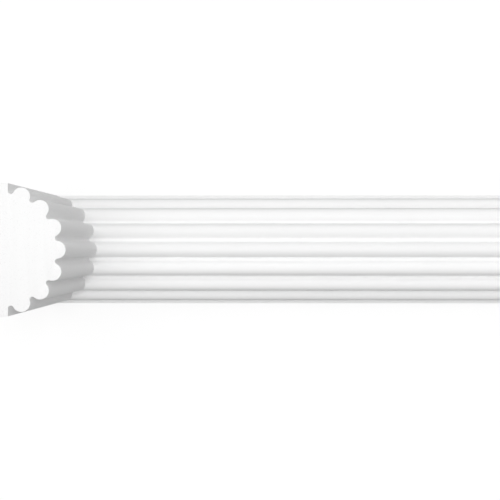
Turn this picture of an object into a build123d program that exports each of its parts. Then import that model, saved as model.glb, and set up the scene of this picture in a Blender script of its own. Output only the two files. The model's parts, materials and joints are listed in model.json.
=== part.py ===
from build123d import *
import os
from math import cos, radians, sin

# Overall sizes, in millimetres
moulding_width = 100.0      # across the flat back
run_length = 2000.0         # long leg, measured along its back
return_length = 196.0       # short leg, measured along its back

# Section sizes
ledge_width = 6.0           # flat margin between each edge and the reeding
reed_count = 7              # round reeds across the half-round face
reed_height = 7.2           # crest of a reed above the floor of a valley
valley_radius = 2.1         # round hollow between two neighbouring reeds
arris_radius = 0.5          # softened front edge of each ledge

# Reeds and valleys share the half circle evenly, with a valley at both ends
pitch = 180.0 / (reed_count + 1)
half_pitch = pitch / 2
end_angle = 90.0 - half_pitch
reed_angles = [pitch * (i - (reed_count - 1) / 2) for i in range(reed_count)]

# The outermost valleys run out level with the ledges, and that sets the base
valley_ring = (moulding_width / 2 - ledge_width) / cos(radians(half_pitch))
valley_floor = valley_ring - valley_radius
base_thickness = valley_ring * sin(radians(half_pitch)) - valley_radius
moulding_depth = valley_floor + reed_height

# Each reed is the circle through its crest that touches the valleys beside it
beside = valley_ring * cos(radians(half_pitch))
reed_radius = (
    (moulding_depth**2 + valley_ring**2 - 2 * moulding_depth * beside - valley_radius**2)
    / (2 * (moulding_depth + valley_radius - beside))
)
reed_ring = moulding_depth - reed_radius


def polar(radius, angle):
    """Point of the section: height above the back, then place across the width."""
    return Vector(radius * cos(radians(angle)), radius * sin(radians(angle)))


def touch(reed_angle, valley_angle):
    """Point where a reed runs smoothly into the valley beside it."""
    reed_centre = polar(reed_ring, reed_angle)
    towards_valley = polar(valley_ring, valley_angle) - reed_centre
    return reed_centre + towards_valley.normalized() * reed_radius


# Inside corner of the two backs, and the far ends of both legs
corner_x = -run_length / 2
return_end = Plane(origin=(corner_x, 0, return_length), x_dir=(1, 0, 0), z_dir=(0, 0, 1))

with BuildPart() as moulding:
    # Path of the backs: down the short leg, round the corner, along the long leg
    with BuildLine() as backs:
        Polyline((corner_x, 0, return_length), (corner_x, 0, 0), (run_length / 2, 0, 0))

    # Section: flat base with two ledges, then a half round of reeds and valleys
    with BuildSketch(return_end) as section:
        with BuildLine():
            for angle in reed_angles:
                ThreePointArc(
                    touch(angle, angle - half_pitch),
                    polar(moulding_depth, angle),
                    touch(angle, angle + half_pitch),
                )
            for angle in reed_angles[:-1]:
                ThreePointArc(
                    touch(angle, angle + half_pitch),
                    polar(valley_floor, angle + half_pitch),
                    touch(angle + pitch, angle + half_pitch),
                )
            for side in (-1, 1):
                ThreePointArc(
                    touch(side * (end_angle - half_pitch), side * end_angle),
                    polar(valley_floor, side * end_angle),
                    (base_thickness, side * beside),
                )
            Polyline(
                (base_thickness, beside),
                (base_thickness, moulding_width / 2),
                (0, moulding_width / 2),
                (0, -moulding_width / 2),
                (base_thickness, -moulding_width / 2),
                (base_thickness, -beside),
            )
        make_face()
        ledge_edges = section.vertices().filter_by(
            lambda v: abs(abs((v - section.face().center()).Y) - moulding_width / 2) < 0.01
            and v.X > corner_x + base_thickness / 2
        )
        fillet(ledge_edges, radius=arris_radius)

    sweep(path=backs.line, transition=Transition.RIGHT)

moulding.part.label = "moulding"
os.makedirs("parts", exist_ok=True)
export_step(moulding.part, "parts/moulding.step")
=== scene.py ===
"""Reeded wall moulding that turns an inside corner, with its finish, a plain stage and a camera."""

import json
import math

import bmesh
import bpy
from bpy.props import FloatProperty, FloatVectorProperty, IntProperty, PointerProperty
from mathutils import Matrix, Vector


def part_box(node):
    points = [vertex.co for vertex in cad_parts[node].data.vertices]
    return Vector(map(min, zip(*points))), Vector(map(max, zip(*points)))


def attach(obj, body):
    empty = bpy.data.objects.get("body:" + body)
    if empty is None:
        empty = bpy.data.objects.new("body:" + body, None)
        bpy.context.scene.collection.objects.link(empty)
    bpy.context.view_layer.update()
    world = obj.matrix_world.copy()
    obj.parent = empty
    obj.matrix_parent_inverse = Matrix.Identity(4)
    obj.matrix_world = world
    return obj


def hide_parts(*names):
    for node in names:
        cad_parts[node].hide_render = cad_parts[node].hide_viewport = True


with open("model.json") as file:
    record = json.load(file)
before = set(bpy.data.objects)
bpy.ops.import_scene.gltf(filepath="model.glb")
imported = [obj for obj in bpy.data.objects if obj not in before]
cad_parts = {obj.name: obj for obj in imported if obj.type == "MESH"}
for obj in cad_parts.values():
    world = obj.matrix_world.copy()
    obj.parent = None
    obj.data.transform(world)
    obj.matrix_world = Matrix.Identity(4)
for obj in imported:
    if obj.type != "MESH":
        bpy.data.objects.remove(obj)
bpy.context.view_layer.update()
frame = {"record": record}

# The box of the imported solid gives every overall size
LOW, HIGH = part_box("moulding")

bl_info = {
    "name": "Reeded Wall Moulding",
    "version": (1, 0, 0),
    "blender": (4, 5, 0),
    "location": "View3D > Sidebar > Moulding",
    "description": "Models and finishes a reeded wall moulding that turns an inside corner",
    "category": "Add Mesh",
}

# The record gives the primer's colour
PRIMER_COLOUR = frame["record"]["materials"][0]["base_color"]

# Material slots of the piece, in the order that its faces number them
PRIMER, CUT_FOAM, SANDED_BACK = range(3)

# Turn of one step of an arc, fewest steps in an arc, and the turn past which an edge is sharp
ARC_STEP = math.radians(6)
FEWEST_STEPS = 4
CREASE = math.radians(28)

# How squarely a face has to point at a wall to lie against it
SQUARE_ON = 0.99

# The part of its range in which nearly all of a soft noise lies
NOISE_RANGE = (0.3, 0.7)

# The camera's place from the inside corner of the backs, in metres
CAMERA_ALONG = 0.19655
CAMERA_ACROSS = 0.00167
CAMERA_OFF = 0.96124

# How far the camera leans off straight down, in degrees
LEAN_ABOUT_RUN = -0.139
LEAN_ABOUT_WIDTH = 0.647

# The photograph's frame and the lens in pixels, the sensor in millimetres and the nearest view in metres
FRAME_PIXELS = 500
FOCAL_PIXELS = 1024.75
SENSOR_WIDTH = 36.0
NEAREST_VIEW = 0.01

# The floor lies just under the back, so that the two never share a plane
FLOOR_SIZE = 30.0
FLOOR_GAP = 0.0002


class MouldingSizes(bpy.types.PropertyGroup):
    """Sizes of the moulding, in metres."""

    width: FloatProperty(
        name="Width",
        description="Across the flat back",
        default=HIGH.y - LOW.y,
        unit="LENGTH",
    )
    run_length: FloatProperty(
        name="Run",
        description="Length of the long leg along its back",
        default=HIGH.x - LOW.x,
        unit="LENGTH",
    )
    return_length: FloatProperty(
        name="Return",
        description="Length of the short leg along its back",
        default=HIGH.z - LOW.z,
        unit="LENGTH",
    )
    ledge_width: FloatProperty(
        name="Ledge",
        description="Flat margin between each edge and the reeding",
        default=0.006,
        unit="LENGTH",
    )
    reed_count: IntProperty(
        name="Reeds",
        description="Round reeds across the half-round face",
        default=7,
        min=1,
    )
    reed_height: FloatProperty(
        name="Reed height",
        description="Crest of a reed above the floor of a valley",
        default=0.0072,
        unit="LENGTH",
    )
    valley_radius: FloatProperty(
        name="Valley radius",
        description="Round hollow between two neighbouring reeds",
        default=0.0021,
        unit="LENGTH",
    )
    arris_radius: FloatProperty(
        name="Arris radius",
        description="Softened front edge of each ledge",
        default=0.0005,
        unit="LENGTH",
    )
    saw_arris: FloatProperty(
        name="Saw arris",
        description="Dulled rim of the two saw cuts",
        default=0.00025,
        unit="LENGTH",
    )


class MouldingFinish(bpy.types.PropertyGroup):
    """Colours and sheen of the moulding's surfaces."""

    primer_colour: FloatVectorProperty(
        name="Primer",
        description="White primer on the reeded face and edges",
        default=PRIMER_COLOUR,
        subtype="COLOR",
    )
    primer_clouds: FloatProperty(
        name="Primer clouds",
        description="Share of its colour that the primer keeps where it is dullest",
        default=0.985,
        subtype="FACTOR",
    )
    primer_roughness: FloatProperty(
        name="Primer roughness",
        description="How matte the primer is",
        default=0.75,
        subtype="FACTOR",
    )
    roughness_spread: FloatProperty(
        name="Roughness spread",
        description="How far the primer's roughness strays from patch to patch",
        default=0.05,
        subtype="FACTOR",
    )
    foam_colour: FloatVectorProperty(
        name="Foam",
        description="Hard foam bared by the saw and on the back",
        default=(0.97, 0.97, 0.97),
        subtype="COLOR",
    )
    pore_shade_colour: FloatVectorProperty(
        name="Pores",
        description="Shaded insides of the foam's cells",
        default=(0.78, 0.78, 0.78),
        subtype="COLOR",
    )
    foam_roughness: FloatProperty(
        name="Foam roughness",
        description="How matte the bare foam is",
        default=0.9,
        subtype="FACTOR",
    )
    gloss: FloatProperty(
        name="Gloss",
        description="How much the primer and the foam mirror what is round them",
        default=0.15,
        subtype="FACTOR",
    )


class StageSettings(bpy.types.PropertyGroup):
    """Floor and light around the moulding."""

    floor_colour: FloatVectorProperty(
        name="Floor",
        description="Pale floor, as other surfaces see it",
        default=(0.35, 0.35, 0.35),
        subtype="COLOR",
    )
    floor_glow: FloatProperty(
        name="Floor glow",
        description="White that the camera sees on the floor before light and shadow",
        default=0.74,
    )
    floor_shade: FloatProperty(
        name="Floor shade",
        description="Share of the light and shadow that the camera sees on the floor",
        default=0.28,
    )
    ambient: FloatProperty(
        name="Ambient",
        description="Even light from all round",
        default=0.275,
    )
    key_strength: FloatProperty(
        name="Key lamp",
        description="Soft lamp in front, a little to the right and up",
        default=0.7,
    )
    upper_strength: FloatProperty(
        name="Upper lamp",
        description="Very wide soft lamp on the upper side",
        default=1.19,
    )
    fill_strength: FloatProperty(
        name="Fill lamp",
        description="Soft lamp in front, to the lower left",
        default=0.66,
    )


class Section:
    """The moulding's section, worked out from its sizes as touching arcs."""

    def __init__(self, sizes):
        self.sizes = sizes
        self.half_width = sizes.width / 2
        self.pitch = math.pi / (sizes.reed_count + 1)
        self.half_pitch = self.pitch / 2
        self.end_angle = math.pi / 2 - self.half_pitch

        # The outermost valleys run out level with the ledges
        self.ledge_end = self.half_width - sizes.ledge_width
        self.valley_ring = self.ledge_end / math.cos(self.half_pitch)
        valley_rise = self.valley_ring * math.sin(self.half_pitch)
        self.base = valley_rise - sizes.valley_radius
        self.depth = self.valley_ring - sizes.valley_radius + sizes.reed_height

        # A reed is the circle through its crest that touches the valleys beside it
        reach = self.depth**2 + self.valley_ring**2 - 2 * self.depth * self.ledge_end
        gap = self.depth + sizes.valley_radius - self.ledge_end
        reed_radius = (reach - sizes.valley_radius**2) / (2 * gap)
        self.reed_ring = self.depth - reed_radius

        # Half the turn of a reed, and half the turn of a valley
        self.reed_turn = math.atan2(valley_rise, self.ledge_end - self.reed_ring)
        self.valley_turn = self.reed_turn - self.half_pitch

    def place(self, height, across):
        """Point of the section where the short leg is cut."""
        return Vector((LOW.x + height, across, LOW.z + self.sizes.return_length))

    def polar(self, radius, angle):
        """Point at a radius and angle from the middle of the back."""
        return self.place(radius * math.cos(angle), radius * math.sin(angle))


def draw_line(mesh, tip, place):
    """Carry the outline's tip along a straight line and return its new end."""
    drawn = bmesh.ops.extrude_vert_indiv(mesh, verts=[tip])
    end = drawn["verts"][0]
    bmesh.ops.translate(mesh, vec=place - end.co, verts=[end])
    return end


def draw_arc(mesh, tip, centre, angle):
    """Carry the outline's tip round a centre and return its new end."""
    steps = max(FEWEST_STEPS, round(abs(angle) / ARC_STEP))
    spun = bmesh.ops.spin(mesh, geom=[tip], cent=centre, axis=(0, 0, 1), angle=angle, steps=steps)
    return next(item for item in spun["geom_last"] if isinstance(item, bmesh.types.BMVert))


def draw_section(mesh, section):
    """Draw the whole section as one face, from one edge of the back round to the other."""
    sizes = section.sizes
    arris = sizes.arris_radius
    quarter = math.pi / 2
    end_turn = section.end_angle + section.valley_turn

    # First edge and ledge, and the valley that the ledge runs into
    start = bmesh.ops.create_vert(mesh, co=section.place(0, -section.half_width))["vert"][0]
    tip = draw_line(mesh, start, section.place(section.base - arris, -section.half_width))
    tip = draw_arc(mesh, tip, section.place(section.base - arris, arris - section.half_width), quarter)
    tip = draw_line(mesh, tip, section.place(section.base, -section.ledge_end))
    tip = draw_arc(mesh, tip, section.polar(section.valley_ring, -section.end_angle), -end_turn)

    # Reeds in turn, each followed by its valley
    for i in range(sizes.reed_count):
        angle = section.pitch * (i - (sizes.reed_count - 1) / 2)
        tip = draw_arc(mesh, tip, section.polar(section.reed_ring, angle), 2 * section.reed_turn)
        last = i == sizes.reed_count - 1
        valley_turn = end_turn if last else 2 * section.valley_turn
        valley = section.polar(section.valley_ring, angle + section.half_pitch)
        tip = draw_arc(mesh, tip, valley, -valley_turn)

    # Second ledge and edge
    tip = draw_line(mesh, tip, section.place(section.base, section.half_width - arris))
    tip = draw_arc(mesh, tip, section.place(section.base - arris, section.half_width - arris), quarter)
    tip = draw_line(mesh, tip, section.place(0, section.half_width))
    bmesh.ops.contextual_create(mesh, geom=[tip, start])
    return bmesh.ops.contextual_create(mesh, geom=mesh.edges[:])["faces"][0]


def extrude_section(mesh, face, matrix):
    """Extrude a section face, carry the new one to its place and return it."""
    grown = bmesh.ops.extrude_face_region(mesh, geom=[face])["geom"]
    moved = [item for item in grown if isinstance(item, bmesh.types.BMVert)]
    bmesh.ops.transform(mesh, matrix=matrix, verts=moved)
    return next(item for item in grown if isinstance(item, bmesh.types.BMFace))


def model_moulding(sizes):
    """Draw the section, carry it down the short leg to the mitre and along the long leg."""
    mesh = bmesh.new()
    return_cut = draw_section(mesh, Section(sizes))

    # On the mitre a point is as high above one back as it is in front of the other
    to_mitre = Matrix.Identity(4)
    to_mitre[2] = (1, 0, 0, LOW.z - LOW.x)
    to_run_cut = Matrix.Identity(4)
    to_run_cut[0] = (0, 0, 0, LOW.x + sizes.run_length)
    mitre = extrude_section(mesh, return_cut, to_mitre)
    run_cut = extrude_section(mesh, mitre, to_run_cut)
    bmesh.ops.delete(mesh, geom=[mitre], context="FACES_ONLY")
    bmesh.ops.recalc_face_normals(mesh, faces=mesh.faces[:])

    # Bare foam shows on the cuts and the backs, and primer on everything else
    for face in mesh.faces:
        on_back = face.normal.z < -SQUARE_ON or face.normal.x < -SQUARE_ON
        face.material_index = SANDED_BACK if on_back else PRIMER
    for cut in (return_cut, run_cut):
        cut.material_index = CUT_FOAM

    # The saw leaves a slightly dulled rim
    bmesh.ops.bevel(
        mesh,
        geom=list(return_cut.edges) + list(run_cut.edges),
        offset=sizes.saw_arris,
        offset_type="OFFSET",
        segments=2,
        profile=0.5,
        affect="EDGES",
        material=-1,
    )
    return mesh


def add_node(tree, kind, **inputs):
    """Add a shader node and set its inputs by name, with an underscore for a space."""
    node = tree.nodes.new(kind)
    for name, value in inputs.items():
        node.inputs[name.replace("_", " ")].default_value = value
    return node


def new_material(name):
    """Start a material: return it with its tree, its shader and the object's coordinates."""
    material = bpy.data.materials.new(name)
    material.use_nodes = True
    tree = material.node_tree
    place = tree.nodes.new("ShaderNodeTexCoord").outputs["Object"]
    return material, tree, tree.nodes["Principled BSDF"], place


def noise(tree, place, scale, detail):
    """Soft noise, with its scale in bumps a metre."""
    node = add_node(tree, "ShaderNodeTexNoise", Scale=scale, Detail=detail)
    tree.links.new(place, node.inputs["Vector"])
    return node.outputs["Fac"]


def stretch(tree, place, scale):
    """Coordinates stretched by a number for each axis."""
    node = add_node(tree, "ShaderNodeMapping", Scale=scale)
    tree.links.new(place, node.inputs["Vector"])
    return node.outputs["Vector"]


def remap(tree, value, old, new):
    """Carry a value from one range to another."""
    node = add_node(
        tree,
        "ShaderNodeMapRange",
        From_Min=old[0],
        From_Max=old[1],
        To_Min=new[0],
        To_Max=new[1],
    )
    tree.links.new(value, node.inputs["Value"])
    return node.outputs["Result"]


def combine(tree, operation, first, second):
    """Work one value out of two, such as their difference or the larger of them."""
    node = tree.nodes.new("ShaderNodeMath")
    node.operation = operation
    tree.links.new(first, node.inputs[0])
    tree.links.new(second, node.inputs[1])
    return node.outputs["Value"]


def blend_colours(tree, share, first, second):
    """Mix two colours by a share that varies over the surface."""
    node = add_node(tree, "ShaderNodeMixRGB", Color1=(*first, 1), Color2=(*second, 1))
    tree.links.new(share, node.inputs["Fac"])
    return node.outputs["Color"]


def emboss(tree, height, strength, distance, under=None):
    """Bump from a height, on top of another bump where one is given."""
    node = add_node(tree, "ShaderNodeBump", Strength=strength, Distance=distance)
    tree.links.new(height, node.inputs["Height"])
    if under is not None:
        tree.links.new(under, node.inputs["Normal"])
    return node.outputs["Normal"]


def primer_material(finish):
    """Sprayed white primer: nearly even, with a fine stipple and a faint slow ripple."""
    material, tree, shader, place = new_material("white_primer")
    colour = Vector(finish.primer_colour)
    clouds = remap(tree, noise(tree, place, scale=9.0, detail=2.0), NOISE_RANGE, (0.0, 1.0))
    tint = blend_colours(tree, clouds, colour, colour * finish.primer_clouds)
    tree.links.new(tint, shader.inputs["Base Color"])

    low = finish.primer_roughness - finish.roughness_spread
    high = finish.primer_roughness + finish.roughness_spread
    patches = remap(tree, noise(tree, place, scale=40.0, detail=3.0), NOISE_RANGE, (low, high))
    tree.links.new(patches, shader.inputs["Roughness"])
    shader.inputs["Specular IOR Level"].default_value = finish.gloss

    slow = noise(tree, place, scale=90.0, detail=1.0)
    fine = noise(tree, place, scale=1600.0, detail=2.0)
    ripple = emboss(tree, slow, strength=0.1, distance=0.00006)
    stipple = emboss(tree, fine, strength=0.25, distance=0.00003, under=ripple)
    tree.links.new(stipple, shader.inputs["Normal"])
    return material


def pinholes(tree, place, scale):
    """Round voids of many sizes that the cut lays open, with their spacing as cells a metre."""
    cells = add_node(tree, "ShaderNodeTexVoronoi", Scale=scale, Randomness=1.0)
    tree.links.new(place, cells.inputs["Vector"])

    # A cell's chance number sets the size of its void, as a share of the spacing
    chance = (0.3, 0.8)
    widest = 0.3
    soft_rim = 0.08
    radius = remap(tree, cells.outputs["Color"], chance, (0.0, widest))
    depth = combine(tree, "SUBTRACT", radius, cells.outputs["Distance"])
    return remap(tree, depth, (0.0, soft_rim), (0.0, 1.0))


def foam_material(name, finish, grain_axes, streaks):
    """Bare hard foam: fine closed cells, pinholes among them with painted shade in their hollows, and
    faint lines along the tool's path.
    """
    material, tree, shader, place = new_material(name)
    holes = pinholes(tree, place, scale=1500.0)
    grain = noise(tree, stretch(tree, place, grain_axes), scale=1.0, detail=4.0)
    # Pinholes take the darker pore colour as painted shade in their hollows; the tool's lines are a real
    # faint streak
    pore_shade_and_streaks = combine(tree, "MAXIMUM", holes, remap(tree, grain, NOISE_RANGE, (0.0, streaks)))
    tint = blend_colours(tree, pore_shade_and_streaks, finish.foam_colour, finish.pore_shade_colour)
    tree.links.new(tint, shader.inputs["Base Color"])
    shader.inputs["Roughness"].default_value = finish.foam_roughness
    shader.inputs["Specular IOR Level"].default_value = finish.gloss

    lines = emboss(tree, grain, strength=0.15, distance=0.00006)
    fine = noise(tree, place, scale=2400.0, detail=1.0)
    cells = emboss(tree, fine, strength=0.35, distance=0.00008, under=lines)
    pits = emboss(tree, holes, strength=-0.5, distance=0.0003, under=cells)
    tree.links.new(pits, shader.inputs["Normal"])
    return material


class MOULDING_OT_reeded_moulding(bpy.types.Operator):
    """Model the reeded moulding with its mitred corner and give it its finish"""

    bl_idname = "moulding.reeded_moulding"
    bl_label = "Reeded Moulding"

    def execute(self, context):
        finish = context.scene.moulding_finish
        mesh = model_moulding(context.scene.moulding_sizes)
        data = bpy.data.meshes.new("reeded_moulding")
        mesh.to_mesh(data)
        mesh.free()
        data.shade_smooth()
        data.set_sharp_from_angle(angle=CREASE)

        # Saw lines run across the width of the cuts, and sanding lines along the backs
        saw_lines = (900, 30, 900)
        sanding_lines = (4, 250, 4)
        data.materials.append(primer_material(finish))
        data.materials.append(foam_material("sawn_foam", finish, saw_lines, streaks=0.03))
        data.materials.append(foam_material("sanded_foam", finish, sanding_lines, streaks=0.25))

        piece = bpy.data.objects.new("reeded_moulding", data)
        context.scene.collection.objects.link(piece)
        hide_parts("moulding")
        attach(piece, "root")
        return {"FINISHED"}


def seen_directly(tree):
    """One where the camera, a reflection or a refraction looks, and nought for other light."""
    path = tree.nodes.new("ShaderNodeLightPath")
    total = path.outputs["Is Camera Ray"]
    for name in ("Is Glossy Ray", "Is Transmission Ray"):
        total = combine(tree, "MAXIMUM", total, path.outputs[name])
    return total


def end_tree(tree, kind, other, direct):
    """End a tree with one shader for what is seen directly and another for all other light."""
    mix = tree.nodes.new("ShaderNodeMixShader")
    tree.links.new(seen_directly(tree), mix.inputs["Fac"])
    tree.links.new(other.outputs[0], mix.inputs[1])
    tree.links.new(direct.outputs[0], mix.inputs[2])
    output = next(node for node in tree.nodes if node.type == kind)
    tree.links.new(mix.outputs["Shader"], output.inputs["Surface"])


def light_world(scene, stage):
    """Even light from all round, on a background that is white to the camera."""
    world = bpy.data.worlds.new("soft_room")
    world.use_nodes = True
    scene.world = world
    tree = world.node_tree
    room = tree.nodes["Background"]
    room.inputs["Color"].default_value = (1, 1, 1, 1)
    room.inputs["Strength"].default_value = stage.ambient
    white = add_node(tree, "ShaderNodeBackground", Color=(1, 1, 1, 1), Strength=1.0)
    end_tree(tree, "OUTPUT_WORLD", room, white)


def floor_material(stage):
    """Pale floor that is white to the camera and keeps a faint shadow."""
    material = bpy.data.materials.new("pale_floor")
    material.use_nodes = True
    tree = material.node_tree
    tree.nodes.remove(tree.nodes["Principled BSDF"])
    pale = add_node(tree, "ShaderNodeBsdfDiffuse", Color=(*stage.floor_colour, 1))
    shade = (stage.floor_shade,) * 3
    shaded = add_node(tree, "ShaderNodeBsdfDiffuse", Color=(*shade, 1))
    glow = add_node(tree, "ShaderNodeEmission", Color=(1, 1, 1, 1), Strength=stage.floor_glow)
    both = tree.nodes.new("ShaderNodeAddShader")
    tree.links.new(shaded.outputs[0], both.inputs[0])
    tree.links.new(glow.outputs[0], both.inputs[1])
    end_tree(tree, "OUTPUT_MATERIAL", pale, both)
    return material


def lay_floor(scene, stage):
    """Lay the floor under the moulding."""
    mesh = bmesh.new()
    bmesh.ops.create_grid(mesh, x_segments=1, y_segments=1, size=FLOOR_SIZE / 2)
    bmesh.ops.translate(mesh, vec=(0, 0, LOW.z - FLOOR_GAP), verts=mesh.verts[:])
    data = bpy.data.meshes.new("floor")
    mesh.to_mesh(data)
    mesh.free()
    data.materials.append(floor_material(stage))
    floor = bpy.data.objects.new("floor", data)
    scene.collection.objects.link(floor)


def hang_lamp(scene, name, strength, softness, tilt, turn):
    """Hang a far soft lamp, tilted from straight above the floor and turned from the run's direction."""
    lamp = bpy.data.lights.new(name, "SUN")
    lamp.energy = strength
    lamp.angle = math.radians(softness)
    hung = bpy.data.objects.new(name, lamp)
    hung.rotation_euler = (0, math.radians(tilt), math.radians(turn))
    scene.collection.objects.link(hung)


def place_camera(scene):
    """Put the camera where the photograph was taken from, looking down at the floor."""
    data = bpy.data.cameras.new("camera")
    data.sensor_width = SENSOR_WIDTH
    data.lens = SENSOR_WIDTH * FOCAL_PIXELS / FRAME_PIXELS
    data.clip_start = NEAREST_VIEW
    camera = bpy.data.objects.new("camera", data)
    camera.location = (LOW.x + CAMERA_ALONG, CAMERA_ACROSS, LOW.z + CAMERA_OFF)
    camera.rotation_euler = (math.radians(LEAN_ABOUT_RUN), math.radians(LEAN_ABOUT_WIDTH), 0)
    scene.collection.objects.link(camera)
    scene.camera = camera


class MOULDING_OT_stage(bpy.types.Operator):
    """Lay the floor, light the moulding and place the camera"""

    bl_idname = "moulding.stage"
    bl_label = "Stage"

    def execute(self, context):
        scene = context.scene
        stage = scene.moulding_stage
        scene.view_settings.view_transform = "Standard"
        light_world(scene, stage)
        lay_floor(scene, stage)
        hang_lamp(scene, "key_lamp", stage.key_strength, softness=20, tilt=15, turn=30)
        hang_lamp(scene, "upper_lamp", stage.upper_strength, softness=90, tilt=30, turn=90)
        hang_lamp(scene, "fill_lamp", stage.fill_strength, softness=60, tilt=25, turn=245)
        place_camera(scene)
        return {"FINISHED"}


class MOULDING_PT_sidebar(bpy.types.Panel):
    """Lists the moulding's sizes, finish and stage"""

    bl_idname = "MOULDING_PT_sidebar"
    bl_label = "Reeded Moulding"
    bl_space_type = "VIEW_3D"
    bl_region_type = "UI"
    bl_category = "Moulding"

    def draw(self, context):
        scene = context.scene
        for title, group, operator in (
            ("Sizes", scene.moulding_sizes, None),
            ("Finish", scene.moulding_finish, MOULDING_OT_reeded_moulding.bl_idname),
            ("Stage", scene.moulding_stage, MOULDING_OT_stage.bl_idname),
        ):
            box = self.layout.box()
            box.label(text=title)
            for name in group.__annotations__:
                box.prop(group, name)
            if operator:
                box.operator(operator)


CLASSES = (
    MouldingSizes,
    MouldingFinish,
    StageSettings,
    MOULDING_OT_reeded_moulding,
    MOULDING_OT_stage,
    MOULDING_PT_sidebar,
)


def register():
    """Register the classes and hang the settings on the scene."""
    for cls in CLASSES:
        bpy.utils.register_class(cls)
    bpy.types.Scene.moulding_sizes = PointerProperty(type=MouldingSizes)
    bpy.types.Scene.moulding_finish = PointerProperty(type=MouldingFinish)
    bpy.types.Scene.moulding_stage = PointerProperty(type=StageSettings)


def unregister():
    """Take the settings off the scene and unregister the classes."""
    del bpy.types.Scene.moulding_stage
    del bpy.types.Scene.moulding_finish
    del bpy.types.Scene.moulding_sizes
    for cls in reversed(CLASSES):
        bpy.utils.unregister_class(cls)


def main():
    """Register the add-on and build everything."""
    register()
    bpy.ops.moulding.reeded_moulding()
    bpy.ops.moulding.stage()


if __name__ == "__main__":
    main()
